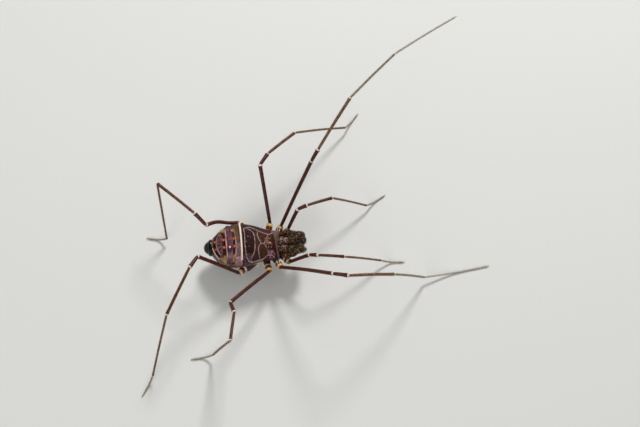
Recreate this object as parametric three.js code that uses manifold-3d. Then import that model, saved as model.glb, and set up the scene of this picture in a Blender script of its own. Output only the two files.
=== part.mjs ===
// A harvestman standing on eight long legs, at life size, in millimetres.
// While it is built, +X points to the head, +Y to the animal's left, and z = 0 is the ground
// that its feet stand on. The finished group is then centred over its own footprint.
import * as THREE from 'three';
import { mergeVertices } from 'three/addons/utils/BufferGeometryUtils.js';
import Module from 'manifold-3d';

const wasm = await Module();
wasm.setup();

// Gaps between pieces that meet face to face, and how near two corners are to be one
const gap = 0.2;
const fineGap = 0.1;
const weldDistance = 1e-5;

// Trunk: stations from the tail to the front edge of the carapace
const trunkStations = [
  { x: -6.95, half: 0.95, side: 2.75, top: 3.35, bottom: 2.15 },
  { x: -6.1, half: 1.3, side: 2.85, top: 3.85, bottom: 1.95 },
  { x: -5.0, half: 2.1, side: 3.15, top: 4.75, bottom: 1.75 },
  { x: -3.7, half: 2.55, side: 3.5, top: 5.4, bottom: 1.65 },
  { x: -2.3, half: 2.52, side: 3.75, top: 5.7, bottom: 1.75 },
  { x: -0.9, half: 2.25, side: 3.85, top: 5.6, bottom: 2.05 },
  { x: 0.4, half: 1.88, side: 3.85, top: 5.25, bottom: 2.35 },
  { x: 1.4, half: 1.78, side: 3.8, top: 4.95, bottom: 2.5 },
  { x: 2.45, half: 1.85, side: 3.7, top: 4.6, bottom: 2.75 },
];
const trunkSides = 26;
const trunkRings = 56;
const trunkBoxiness = 0.85;
const tailBluntness = 10;
const frontBluntness = 24;
const frontHollow = { depth: 0.4, from: 1.0 };
// The slabs that part the trunk reach past it on every side, and the ground past every foot
const slabReach = 20;
const groundReach = 80;

// Where the trunk is parted, and the grooves across its back
const scutumRear = -2.3;
const operculumFront = -6.02;
const tergiteGrooves = [-3.35, -4.53, -5.5];
const tergiteGroove = { depth: 0.24, width: 0.13 };
const areaGrooves = [-1.0, -0.15, 0.6];
const areaGroove = { depth: 0.08, width: 0.12 };
const sterniteGroove = { depth: 0.1, width: 0.13 };

// Eye mound on the carapace, with an eye at each end
const mound = { x: 0.95, long: 0.95, wide: 1.55, high: 0.5, sides: 16, rings: 10 };
const eye = { radius: 0.18, out: 0.55, up: 0.28, sides: 12, rings: 8 };

// Mouthparts. A chelicera is a stem that swells over its end, a hand, and two fingers.
const cheliceraLimbs = {
  stem: {
    path: [[1.6, 0.44, 3.6], [2.4, 0.48, 3.95], [3.05, 0.52, 4.08], [3.6, 0.52, 3.85]],
    radii: [0.26, 0.3, 0.4, 0.28],
  },
  hand: {
    path: [[3.3, 0.52, 4.0], [3.9, 0.54, 3.65], [4.2, 0.5, 3.1], [4.2, 0.46, 2.6]],
    radii: [0.24, 0.42, 0.4, 0.2],
  },
  fixedFinger: {
    path: [[4.2, 0.4, 2.9], [4.3, 0.32, 2.4], [4.2, 0.24, 2.0]],
    radii: [0.2, 0.14, 0.06],
  },
  movableFinger: {
    path: [[4.1, 0.6, 2.9], [4.3, 0.66, 2.4], [4.25, 0.46, 1.95]],
    radii: [0.18, 0.13, 0.06],
  },
};
const cheliceraDetail = { sides: 8, steps: 5 };
// A pedipalp is a short leg, broad and flat at its tibia, bent down in front of the chelicera.
// The left one is held a little further out.
const pedipalps = {
  left: {
    path: [
      [1.8, 1.05, 3.3], [2.7, 1.38, 3.7], [3.4, 1.42, 4.1], [4.1, 1.14, 4.3], [4.7, 0.86, 4.05],
      [4.98, 0.64, 3.3], [4.85, 0.42, 2.5],
    ],
    radii: [0.3, 0.4, 0.4, 0.5, 0.52, 0.34, 0.12],
  },
  right: {
    path: [
      [1.8, 0.95, 3.3], [2.7, 1.12, 3.65], [3.4, 1.1, 4.0], [4.1, 0.92, 4.2], [4.75, 0.66, 3.95],
      [5.05, 0.5, 3.2], [4.95, 0.38, 2.5],
    ],
    radii: [0.3, 0.36, 0.38, 0.45, 0.44, 0.3, 0.12],
  },
};
const pedipalpDetail = { sides: 12, steps: 14, flatness: 0.7 };

// Leg lengths, hips and coxa roots for each pair
const legPairs = {
  1: {
    root: [1.75, 0.42, 2.55], hip: [2.9, 2.0, 3.1], coxaRadius: 0.38,
    lengths: { femur: 3.45, patella: 1.27, tibia: 3.43, metatarsus: 5.75, tarsus: 2.8 },
  },
  2: {
    root: [1.0, 0.42, 2.45], hip: [2.2, 2.6, 3.4], coxaRadius: 0.42,
    lengths: { femur: 10.3, patella: 1.9, tibia: 7.3, metatarsus: 7.3, tarsus: 7.9 },
  },
  3: {
    root: [0.25, 0.42, 2.35], hip: [0.9, 3.0, 3.1], coxaRadius: 0.44,
    lengths: { femur: 7.4, patella: 1.8, tibia: 4.5, metatarsus: 8.9, tarsus: 2.6 },
  },
  4: {
    root: [-0.75, 0.6, 2.3], hip: [-2.7, 3.25, 3.0], coxaRadius: 0.66,
    lengths: { femur: 6.7, patella: 1.85, tibia: 6.05, metatarsus: 8.85, tarsus: 2.55 },
  },
};
// A coxa is thinner at its root, and rounds off at a shoulder. The trochanter is a short bead
// at its end, behind a narrow waist.
const trochanter = { length: 0.62, waist: 0.28, bead: 0.37, end: 0.31 };
const coxaRootShare = 0.75;
const coxaShoulder = { along: 0.85, thickness: 0.95 };
const coxaBend = { along: 0.6, droop: 0.2 };
const coxaDetail = { sides: 10, steps: 9 };

// Each leg's stance: headings are degrees outward from straight ahead, pitches degrees upward.
// A foot on the ground sets the pitch of its own metatarsus and tarsus.
const stances = {
  left_1: { femur: [56, 50], patella: [22, 5], tibia: [24, -18], metatarsus: [6], tarsus: [36] },
  right_1: { femur: [-8, 38], patella: [16, 33], tibia: [-6, -26], metatarsus: [-9], tarsus: [-1] },
  left_2: { femur: [54, 53], patella: [47, 53], tibia: [51, 38], metatarsus: [36, 33], tarsus: [23, 26] },
  right_2: { femur: [28, 48], patella: [14, 15], tibia: [-18, -40], metatarsus: [-22], tarsus: [-12] },
  left_3: { femur: [102, 38], patella: [58, -8], tibia: [44, -11], metatarsus: [26], tarsus: [55] },
  right_3: { femur: [133, 27], patella: [66, 29], tibia: [94, 27], metatarsus: [196], tarsus: [172] },
  left_4: { femur: [210, 51], patella: [142, 23], tibia: [139, -4], metatarsus: [-80], tarsus: [172] },
  right_4: { femur: [188, 46], patella: [118, 14], tibia: [115, -7], metatarsus: [110], tarsus: [118] },
};

// Leg radius at the start and end of each segment, and how much and how late the far end swells
const segmentRadii = {
  femur: [0.26, 0.3],
  patella: [0.28, 0.33],
  tibia: [0.25, 0.27],
  metatarsus: [0.25, 0.25],
  tarsus: [0.24, 0.17],
};
const jointSwelling = { share: 0.15, lateness: 8 };
const legBow = 0.02;
const ankleHeight = 0.85;
const toeHeight = 0.09;
const footFlatFrom = 0.4;
const legDetail = { sides: 8, steps: 6 };

// Materials
const finishes = {
  chocolate_cuticle: { color: 0x3a1f18, roughness: 0.45, metalness: 0 },
  maroon_tergite: { color: 0x6a3f43, roughness: 0.5, metalness: 0 },
  black_cuticle: { color: 0x17120d, roughness: 0.25, metalness: 0 },
  eye_lens: { color: 0x080606, roughness: 0.08, metalness: 0 },
  coxa_cuticle: { color: 0x4a2a1e, roughness: 0.45, metalness: 0 },
  femur_cuticle: { color: 0x3a1a0c, roughness: 0.45, metalness: 0 },
  patella_cuticle: { color: 0x4a2c26, roughness: 0.45, metalness: 0 },
  tibia_cuticle: { color: 0x553628, roughness: 0.45, metalness: 0 },
  metatarsus_cuticle: { color: 0x7a5c48, roughness: 0.5, metalness: 0 },
  tarsus_cuticle: { color: 0x9c988a, roughness: 0.55, metalness: 0 },
};

const upward = new THREE.Vector3(0, 0, 1);
const group = new THREE.Group();

function addPiece(name, finish, geometry) {
  const material = new THREE.MeshStandardMaterial(finishes[finish]);
  const mesh = new THREE.Mesh(geometry, material);
  mesh.name = name;
  group.add(mesh);
}

// Solids: merged geometry goes in to be joined or cut, and comes back as geometry
function weld(geometry) {
  geometry.deleteAttribute('normal');
  geometry.deleteAttribute('uv');
  return mergeVertices(geometry, weldDistance);
}

function solid(geometry) {
  const welded = weld(geometry);
  return new wasm.Manifold(new wasm.Mesh({
    numProp: 3,
    vertProperties: new Float32Array(welded.attributes.position.array),
    triVerts: new Uint32Array(welded.index.array),
  }));
}

function largestBody(shape) {
  const bodies = shape.decompose();
  bodies.sort((a, b) => b.volume() - a.volume());
  const mesh = bodies[0].getMesh();
  const geometry = new THREE.BufferGeometry();
  geometry.setAttribute('position', new THREE.BufferAttribute(mesh.vertProperties, 3));
  geometry.setIndex(new THREE.BufferAttribute(mesh.triVerts, 1));
  return geometry;
}

function slab(fromX, toX) {
  const box = new THREE.BoxGeometry(toX - fromX, slabReach, slabReach);
  box.translate((fromX + toX) / 2, 0, 0);
  return solid(box);
}

function groundSlab() {
  const box = new THREE.BoxGeometry(groundReach, groundReach, groundReach);
  box.translate(0, 0, -groundReach / 2);
  return solid(box);
}

const ground = groundSlab();

// Trunk: one smooth body that is parted afterwards. grow makes it larger all round,
// which gives the gap to whatever meets it.
const stationReader = new THREE.CubicInterpolant(
  trunkStations.map((s) => s.x),
  trunkStations.flatMap((s) => [s.half, s.side, s.top, s.bottom]),
  4,
);

function trunkSection(x) {
  const [half, side, top, bottom] = stationReader.evaluate(x);
  return { half, side, top, bottom };
}

function grooveDepth(x, places, { depth, width }) {
  return places.reduce((sum, place) => sum + depth * Math.exp(-(((x - place) / width) ** 2)), 0);
}

function power(value, exponent) {
  return Math.sign(value) * Math.abs(value) ** exponent;
}

function trunkGeometry(grow) {
  const geometry = new THREE.SphereGeometry(1, trunkSides, trunkRings);
  const tail = trunkStations[0].x - grow;
  const front = trunkStations.at(-1).x + grow;
  const position = geometry.attributes.position;
  const point = new THREE.Vector3();
  for (let i = 0; i < position.count; i += 1) {
    point.fromBufferAttribute(position, i);
    const ring = Math.acos(THREE.MathUtils.clamp(point.y, -1, 1)) / Math.PI;
    const along = 1 - 2 * ring;
    const x = THREE.MathUtils.lerp(front, tail, ring);
    const bluntness = along > 0 ? frontBluntness : tailBluntness;
    const closing = Math.sqrt(Math.max(0, 1 - Math.abs(along) ** bluntness));
    const around = Math.hypot(point.x, point.z) || 1;
    const sideways = power(point.z / around, trunkBoxiness);
    const height = power(point.x / around, trunkBoxiness);
    const section = trunkSection(x);
    const back = Math.max(0, height);
    const belly = Math.max(0, -height);
    const groove = grooveDepth(x, tergiteGrooves, tergiteGroove) * Math.sqrt(back)
      + grooveDepth(x, tergiteGrooves, sterniteGroove) * belly
      + grooveDepth(x, areaGrooves, areaGroove) * back;
    const across = closing * sideways;
    const hollow = frontHollow.depth * (1 - across ** 2)
      * THREE.MathUtils.smoothstep(x, frontHollow.from, front);
    const rise = height > 0 ? section.top - section.side : section.side - section.bottom;
    const halfWidth = section.half + grow;
    const middle = (section.top + section.bottom) / 2;
    const level = THREE.MathUtils.lerp(middle, section.side, closing);
    position.setXYZ(
      i,
      x - hollow,
      across * halfWidth,
      level + closing * height * (rise + grow - groove),
    );
  }
  return geometry;
}

const trunk = solid(trunkGeometry(0));
const trunkWithGap = solid(trunkGeometry(gap));

function addTrunk() {
  const scutum = trunk.intersect(slab(scutumRear + gap / 2, slabReach));
  const abdomen = trunk.intersect(slab(operculumFront + gap / 2, scutumRear - gap / 2));
  const operculum = trunk.intersect(slab(-slabReach, operculumFront - gap / 2));
  addPiece('scutum', 'chocolate_cuticle', largestBody(scutum));
  addPiece('abdomen', 'maroon_tergite', largestBody(abdomen));
  addPiece('anal_operculum', 'black_cuticle', largestBody(operculum));
}

// Eye mound: a low oval dome across the carapace, with a round lens set in each end
function ball(radius, x, y, z) {
  const geometry = new THREE.SphereGeometry(radius, eye.sides, eye.rings);
  geometry.translate(x, y, z);
  return geometry;
}

function addEyeMound() {
  const base = trunkSection(mound.x).top;
  const dome = new THREE.SphereGeometry(1, mound.sides, mound.rings);
  dome.scale(mound.long / 2, mound.wide / 2, mound.high);
  dome.translate(mound.x, 0, base);
  let moundSolid = solid(dome).subtract(solid(trunkGeometry(fineGap)));
  for (const [name, side] of [['eye_left', 1], ['eye_right', -1]]) {
    const place = [mound.x, side * eye.out, base + eye.up];
    moundSolid = moundSolid.subtract(solid(ball(eye.radius + fineGap, ...place)));
    addPiece(name, 'eye_lens', weld(ball(eye.radius, ...place)));
  }
  addPiece('eye_mound', 'chocolate_cuticle', largestBody(moundSolid));
}

// A limb is a closed bar along a curve. radius is a function of the share of its length, and
// the detail's flatness is its height over its width. The end faces are turned to lie square to
// the normals given, so that two limbs meet face to face at a bent joint.
function mitre(offset, tangent, normal) {
  return normal ? -offset.dot(normal) / tangent.dot(normal) : 0;
}

function limb(curve, radius, detail, { startNormal, endNormal } = {}) {
  const { sides, steps, flatness = 1 } = detail;
  const geometry = new THREE.CylinderGeometry(1, 1, 1, sides, steps);
  const position = geometry.attributes.position;
  const across = new THREE.Vector3();
  const over = new THREE.Vector3();
  for (let i = 0; i < position.count; i += 1) {
    const t = 0.5 - 0.5 * Math.cos(Math.PI * (position.getY(i) + 0.5));
    const tangent = curve.getTangent(t);
    across.crossVectors(tangent, upward).normalize();
    over.crossVectors(across, tangent);
    const offset = new THREE.Vector3();
    offset.addScaledVector(across, position.getX(i) * radius(t));
    offset.addScaledVector(over, position.getZ(i) * radius(t) * flatness);
    const slide = mitre(offset, tangent, startNormal) * (1 - t) ** 2
      + mitre(offset, tangent, endNormal) * t ** 2;
    const point = curve.getPoint(t).add(offset).addScaledVector(tangent, slide);
    position.setXYZ(i, point.x, point.y, point.z);
  }
  return geometry;
}

// Mouthparts: the chelicerae hang in front, and the broad pedipalps fold round them
function mirrored(path, side) {
  return new THREE.CatmullRomCurve3(path.map(([x, y, z]) => new THREE.Vector3(x, side * y, z)));
}

function alongRadii(radii, shares = radii.map((_, i) => i / (radii.length - 1))) {
  const reader = new THREE.LinearInterpolant(shares, radii, 1);
  return (t) => reader.evaluate(t)[0];
}

function mouthpart(shape, side, grow, detail) {
  const radii = shape.radii.map((r) => r + grow);
  return solid(limb(mirrored(shape.path, side), alongRadii(radii), detail));
}

function cheliceraSolid(side, grow) {
  return Object.values(cheliceraLimbs)
    .map((shape) => mouthpart(shape, side, grow, cheliceraDetail))
    .reduce((whole, next) => whole.add(next));
}

function addMouthparts() {
  for (const [word, side] of [['left', 1], ['right', -1]]) {
    const jaw = cheliceraSolid(side, 0).subtract(trunkWithGap);
    const palp = mouthpart(pedipalps[word], side, 0, pedipalpDetail)
      .subtract(trunkWithGap)
      .subtract(cheliceraSolid(side, gap));
    addPiece(`chelicera_${word}`, 'black_cuticle', largestBody(jaw));
    addPiece(`pedipalp_${word}`, 'black_cuticle', largestBody(palp));
  }
}

// Legs: directions from headings and pitches, then joints one after another from the hip
function direction(side, heading, pitch) {
  const turn = THREE.MathUtils.degToRad(heading);
  const rise = THREE.MathUtils.degToRad(pitch);
  return new THREE.Vector3(
    Math.cos(rise) * Math.cos(turn),
    side * Math.cos(rise) * Math.sin(turn),
    Math.sin(rise),
  );
}

function sided([x, y, z], side) {
  return new THREE.Vector3(x, side * y, z);
}

function pitchToReach(fromZ, toZ, length) {
  return THREE.MathUtils.radToDeg(Math.asin((toZ - fromZ) / length));
}

// The plane where two limbs meet is halfway between their directions
function meetingNormal(before, after) {
  return before.clone().add(after).normalize();
}

function offJoint(joint, along, normal, sign) {
  return joint.clone().addScaledVector(along, (sign * gap) / 2 / along.dot(normal));
}

function legDirections(side, pair, stance) {
  const segments = ['femur', 'patella', 'tibia', 'metatarsus', 'tarsus'];
  const directions = {};
  let z = pair.hip[2];
  for (const part of segments) {
    const [heading, pitch] = stance[part];
    const grounded = part === 'metatarsus' ? ankleHeight : toeHeight;
    const rise = pitch ?? pitchToReach(z, grounded, pair.lengths[part]);
    directions[part] = direction(side, heading, rise);
    z += pair.lengths[part] * directions[part].z;
  }
  return directions;
}

function coxaCurve(side, pair) {
  const root = sided(pair.root, side);
  const hip = sided(pair.hip, side);
  const bend = root.clone().lerp(hip, coxaBend.along);
  bend.z -= coxaBend.droop;
  return new THREE.QuadraticBezierCurve3(root, bend, hip);
}

function coxaRadius(pair, curve, grow) {
  const waist = 1 - trochanter.length / curve.getLength();
  const shares = [0, waist / 2, waist * coxaShoulder.along, waist, (waist + 1) / 2, 1];
  const full = pair.coxaRadius;
  const radii = [
    full * coxaRootShare, full, full * coxaShoulder.thickness,
    trochanter.waist, trochanter.bead, trochanter.end,
  ];
  return alongRadii(radii.map((r) => r + grow), shares);
}

function segmentRadius(part) {
  const [near, far] = segmentRadii[part];
  const swelling = (t) => 1 + jointSwelling.share * t ** jointSwelling.lateness;
  return (t) => THREE.MathUtils.lerp(near, far, t) * swelling(t);
}

// A foot on the ground comes down in a curve and lies flat along its last half
function footCurve(ankle, along, length) {
  const toe = ankle.clone().addScaledVector(along, length);
  const heel = ankle.clone().lerp(toe, footFlatFrom);
  heel.z = toe.z;
  return new THREE.QuadraticBezierCurve3(ankle, heel, toe);
}

function bowedCurve(from, to) {
  const crown = from.clone().lerp(to, 0.5);
  crown.z += 2 * legBow * from.distanceTo(to);
  return new THREE.QuadraticBezierCurve3(from, crown, to);
}

function addLeg(word, side, number) {
  const pair = legPairs[number];
  const stance = stances[`${word}_${number}`];
  const grounded = stance.metatarsus.length === 1;
  const directions = legDirections(side, pair, stance);
  const parts = Object.keys(directions);
  let joint = sided(pair.hip, side);
  let startNormal = meetingNormal(coxaCurve(side, pair).getTangent(1), directions.femur);
  parts.forEach((part, i) => {
    const along = directions[part];
    const next = directions[parts[i + 1]];
    const endNormal = next ? meetingNormal(along, next) : along;
    const end = joint.clone().addScaledVector(along, pair.lengths[part]);
    const from = offJoint(joint, along, startNormal, 1);
    const to = next ? offJoint(end, along, endNormal, -1) : end;
    const isFoot = grounded && part === 'tarsus';
    const curve = isFoot ? footCurve(from, along, from.distanceTo(to)) : bowedCurve(from, to);
    const bar = limb(curve, segmentRadius(part), legDetail, { startNormal, endNormal });
    const geometry = isFoot ? largestBody(solid(bar).subtract(ground)) : weld(bar);
    addPiece(`leg_${word}_${number}_${part}`, `${part}_cuticle`, geometry);
    joint = end;
    startNormal = endNormal;
  });
}

function addCoxae(word, side) {
  let earlier = trunkWithGap;
  for (const number of Object.keys(legPairs)) {
    const pair = legPairs[number];
    const curve = coxaCurve(side, pair);
    const femur = legDirections(side, pair, stances[`${word}_${number}`]).femur;
    const hip = meetingNormal(curve.getTangent(1), femur);
    const joint = curve.v2.clone();
    curve.v2.copy(offJoint(joint, curve.getTangent(1), hip, -1));
    const shape = (grow) => solid(limb(curve, coxaRadius(pair, curve, grow), coxaDetail, { endNormal: hip }));
    addPiece(`leg_${word}_${number}_coxa`, 'coxa_cuticle', largestBody(shape(0).subtract(earlier)));
    earlier = earlier.add(shape(gap));
  }
}

addTrunk();
addEyeMound();
addMouthparts();
for (const [word, side] of [['left', 1], ['right', -1]]) {
  addCoxae(word, side);
  for (const number of Object.keys(legPairs)) {
    addLeg(word, side, number);
  }
}

// The origin is on the ground, below the middle of the whole animal
const footprint = new THREE.Box3().setFromObject(group).getCenter(new THREE.Vector3());
group.position.set(-footprint.x, -footprint.y, 0);
group.updateMatrixWorld(true);

export default group;
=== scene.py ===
from math import cos, pi, radians, sin

import bpy
import numpy as np
from mathutils import Matrix, Vector
from mathutils.bvhtree import BVHTree


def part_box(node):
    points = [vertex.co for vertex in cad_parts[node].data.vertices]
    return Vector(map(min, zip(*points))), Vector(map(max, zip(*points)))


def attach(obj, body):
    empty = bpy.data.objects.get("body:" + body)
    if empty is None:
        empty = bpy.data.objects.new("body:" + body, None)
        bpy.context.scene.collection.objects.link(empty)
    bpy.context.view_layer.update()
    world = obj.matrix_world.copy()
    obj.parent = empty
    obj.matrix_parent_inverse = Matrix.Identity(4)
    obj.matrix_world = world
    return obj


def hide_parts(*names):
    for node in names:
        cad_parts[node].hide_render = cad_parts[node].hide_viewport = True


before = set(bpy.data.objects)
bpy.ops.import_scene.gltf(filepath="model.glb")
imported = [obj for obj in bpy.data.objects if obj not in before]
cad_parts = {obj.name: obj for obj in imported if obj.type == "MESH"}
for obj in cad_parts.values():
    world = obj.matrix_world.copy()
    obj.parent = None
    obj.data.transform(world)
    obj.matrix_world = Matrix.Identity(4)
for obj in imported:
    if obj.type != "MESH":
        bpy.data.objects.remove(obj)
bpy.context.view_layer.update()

# Viewpoint
# The animal stands on the floor with its head to the right, and is seen from steeply above its
# right side, from far enough away that its raised leg isn't drawn much larger than the others.
MM = 0.001
SCUTUM_REAR = -2.2
PICTURE_WIDTH = 640
PICTURE_MIDDLE = (320, 213.5)
BACK_IN_PICTURE = (262, 243.5)
BACK_HEIGHT = 4.5
PIXELS_PER_MM = 8.5
LOOK_DOWN = radians(70)
CAMERA_DISTANCE = 200

scutum_low, scutum_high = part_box("scutum")
body_zero = Vector((scutum_low.x - SCUTUM_REAR * MM, (scutum_low.y + scutum_high.y) / 2, 0))


def at(x, y, z):
    """A place on the body's own scale in mm: x towards the head, y to the left, z off the floor."""
    return body_zero + Vector((x, y, z)) * MM


look = Vector((0, cos(LOOK_DOWN), -sin(LOOK_DOWN)))
picture_up = Vector((0, sin(LOOK_DOWN), cos(LOOK_DOWN)))
aim = at(0, 0, BACK_HEIGHT)
aim.x += (PICTURE_MIDDLE[0] - BACK_IN_PICTURE[0]) / PIXELS_PER_MM * MM
aim += picture_up * (BACK_IN_PICTURE[1] - PICTURE_MIDDLE[1]) / PIXELS_PER_MM * MM
bpy.ops.object.camera_add(location=aim - look * CAMERA_DISTANCE * MM)
camera = bpy.context.object
camera.rotation_euler = look.to_track_quat("-Z", "Y").to_euler()
camera.data.lens = camera.data.sensor_width * PIXELS_PER_MM * CAMERA_DISTANCE / PICTURE_WIDTH
camera.data.clip_start = 0.01
camera.data.clip_end = 10
bpy.context.scene.camera = camera

# Floor
# A pale matt studio sweep: a round floor whose rim curves up far behind the camera, so that no
# edge or horizon shows from any side.
FLOOR_RADIUS = 0.7
SWEEP = [(0.1, 0.01), (0.1, 0.05), (0.1, 0.12), (0.05, 0.25), (0.0, 0.4)]


def linear(hex_colour):
    """Colours are written as on a screen, and the shader wants them linear."""
    shares = [int(hex_colour[i:i + 2], 16) / 255 for i in (0, 2, 4)]
    return (*[s / 12.92 if s <= 0.04045 else ((s + 0.055) / 1.055) ** 2.4 for s in shares], 1)


bpy.ops.object.select_all(action="DESELECT")
bpy.ops.mesh.primitive_circle_add(vertices=96, radius=FLOOR_RADIUS, fill_type="NGON")
floor = bpy.context.object
floor.name = "floor"
bpy.ops.object.mode_set(mode="EDIT")
bpy.ops.mesh.select_all(action="SELECT")
bpy.ops.mesh.region_to_loop()
rim = FLOOR_RADIUS
for outwards, upwards in SWEEP:
    bpy.ops.mesh.extrude_edges_move(TRANSFORM_OT_translate={"value": (0, 0, upwards)})
    wider = (rim + outwards) / rim
    bpy.ops.transform.resize(value=(wider, wider, 1), center_override=(0, 0, 0))
    rim += outwards
bpy.ops.object.mode_set(mode="OBJECT")
floor.data.shade_smooth()

paper = bpy.data.materials.new("matt studio paper")
paper.use_nodes = True
paper_skin = paper.node_tree.nodes["Principled BSDF"]
paper_skin.inputs["Base Color"].default_value = linear("dddcd8")
paper_skin.inputs["Roughness"].default_value = 0.9
floor.data.materials.append(paper)

# Lights
# One soft light from above the picture's top edge, and a wide weak one from the opposite side.
# The room is dim, so that dark cuticle stays dark.
LIGHTS = {
    "key": {"place": (0.05, 0.2, 0.2), "size": 0.06, "watts": 0.6},
    "fill": {"place": (-0.12, -0.2, 0.16), "size": 0.14, "watts": 0.24},
}
for name, lamp in LIGHTS.items():
    place = Vector(lamp["place"])
    bpy.ops.object.light_add(type="AREA", location=place)
    light = bpy.context.object
    light.name = name
    light.rotation_euler = (-place).to_track_quat("-Z", "Y").to_euler()
    light.data.size = lamp["size"]
    light.data.energy = lamp["watts"]

world = bpy.data.worlds.new("room")
bpy.context.scene.world = world
world.use_nodes = True
world.node_tree.nodes["Background"].inputs["Color"].default_value = linear("eef1f4")
world.node_tree.nodes["Background"].inputs["Strength"].default_value = 0.45
bpy.context.scene.view_settings.view_transform = "Standard"

# Trunk
# A harvestman has no waist: one plate, the scutum, covers its head end and most of its back, and
# free plates the rest, spread apart by eggs. All of it is one shell of hard cuticle, drawn from a
# ball, with grooves where plates meet and soft folded skin along the sides.

# Stations along the trunk: x, half width, height of the sides, top and bottom, in mm
STATIONS = np.array([
    (-6.95, 0.86, 2.75, 3.4, 2.15),
    (-6.4, 0.94, 2.82, 3.72, 2.0),
    (-5.95, 1.12, 2.9, 3.98, 1.9),
    (-5.0, 2.04, 3.15, 4.75, 1.75),
    (-3.7, 2.55, 3.5, 5.4, 1.65),
    (-2.3, 2.52, 3.75, 5.7, 1.75),
    (-0.9, 2.25, 3.85, 5.6, 2.05),
    (0.4, 1.88, 3.85, 5.25, 2.35),
    (1.4, 1.78, 3.8, 4.95, 2.5),
    (2.45, 1.85, 3.7, 4.6, 2.75),
])
BOXINESS = 0.85
TAIL_BLUNTNESS = 10
FRONT_BLUNTNESS = 24
FRONT_HOLLOW = 0.55
# The markings lie about a line this far to the left of the trunk's middle, in mm
AXIS = -0.14
# Lines across the back, each with its slant and its bow: the soft grooves between the free
# plates, with their half widths, the scutum's rear edge, the last plate's front edge, and the
# pale rim before it
GROOVES = [(-3.25, -0.093, -0.058, 0.15), (-4.52, -0.104, 0.0, 0.24), (-5.66, -0.117, 0.237, 0.18)]
SCUTUM_EDGE = (-2.4, -0.085, -0.02)
OPERCULUM_EDGE = (-6.06, -0.03, 0.06)
PALE_RIM = (-5.92, -0.2, 0.2)
# The pale lines on the scutum, drawn on the back from above
SULCI = {
    "rear": [(-2.18, 1.5), (-2.02, 0.9), (-1.97, 0.04), (-1.94, -0.56), (-1.87, -1.2), (-1.72, -1.9)],
    "third": [(-1.86, 1.68), (-1.4, 1.36), (-1.04, 1.05), (-0.84, 0.35), (-0.77, -0.4), (-0.8, -1.1),
              (-0.98, -1.65), (-1.2, -1.95)],
    "second": [(-0.53, 1.18), (-0.54, 0.76), (-0.36, 0.3), (-0.08, -0.24), (-0.3, -0.56),
               (-0.37, -0.98), (-0.31, -1.55), (-0.2, -1.95)],
    "bridge": [(-0.14, -0.28), (0.1, -0.25), (0.32, -0.27)],
    "first": [(0.72, 1.0), (0.6, 0.6), (0.42, 0.12), (0.3, -0.24), (0.5, -0.6), (0.7, -0.95),
              (0.86, -1.45)],
    "left side": [(-2.18, 1.5), (-1.86, 1.74), (-1.42, 1.78), (-0.72, 1.48), (-0.34, 1.28), (0.7, 0.98),
                  (1.0, 1.1), (1.3, 1.36)],
    "right side": [(-1.72, -1.9), (-1.5, -2.24), (-1.0, -2.24), (-0.5, -2.1), (0.06, -1.92),
                   (0.86, -1.45), (1.14, -1.46), (1.5, -1.66)],
}
STERNITE_EDGES = (-2.1, -2.85, -3.9, -5.0, -6.0)
MOUND = {"x": 0.95, "long": 0.54, "wide": 0.84, "high": 0.42}
PETALS = 13
FAR_AWAY = 9.0
TRUNK_SEGMENTS = 256
TRUNK_RINGS = 300


def through(x, xs, ys):
    """A smooth curve through the points xs, ys, read at x."""
    slopes = np.gradient(ys, xs)
    i = np.clip(np.searchsorted(xs, x) - 1, 0, len(xs) - 2)
    width = xs[i + 1] - xs[i]
    t = np.clip((x - xs[i]) / width, 0, 1)
    from_left = ys[i] * (1 + 2 * t) + slopes[i] * width * t
    from_right = ys[i + 1] * (3 - 2 * t) + slopes[i + 1] * width * (t - 1)
    return from_left * (1 - t) ** 2 + from_right * t ** 2


def eased(low, high, x):
    t = np.clip((x - low) / (high - low), 0, 1)
    return t * t * (3 - 2 * t)


def power(value, exponent):
    return np.sign(value) * np.abs(value) ** exponent


def bump_at(value, width):
    return np.exp(-(value / width) ** 2)


def places_of(vertices):
    """Where a mesh's corners are, in metres."""
    places = np.empty(len(vertices) * 3)
    vertices.foreach_get("co", places)
    return places.reshape(-1, 3)


def lie(points, line):
    """How far behind a crossing line each point lies, in mm."""
    x, slant, bow = line[:3]
    y = points[:, 1] - AXIS
    return x + slant * y + bow * y ** 2 - points[:, 0]


def smoothed(line, steps=8):
    points = np.array(line, float)
    shares = np.arange(len(points), dtype=float)
    fine = np.linspace(0, len(points) - 1, (len(points) - 1) * steps + 1)
    return np.column_stack([through(fine, shares, points[:, k]) for k in (0, 1)])


def distance_to(points, line):
    """Distance from each point to a drawn line, seen from above, in mm."""
    best = np.full(len(points), np.inf)
    for start, end in zip(line, line[1:]):
        along = end - start
        share = np.clip((points - start) @ along / (along @ along), 0, 1)
        best = np.minimum(best, np.linalg.norm(points - start - share[:, None] * along, axis=1))
    return best


bpy.ops.object.select_all(action="DESELECT")
bpy.ops.mesh.primitive_uv_sphere_add(segments=TRUNK_SEGMENTS, ring_count=TRUNK_RINGS, radius=1)
trunk = bpy.context.object
trunk.name = trunk.data.name = "trunk"
ball = places_of(trunk.data.vertices)

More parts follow.
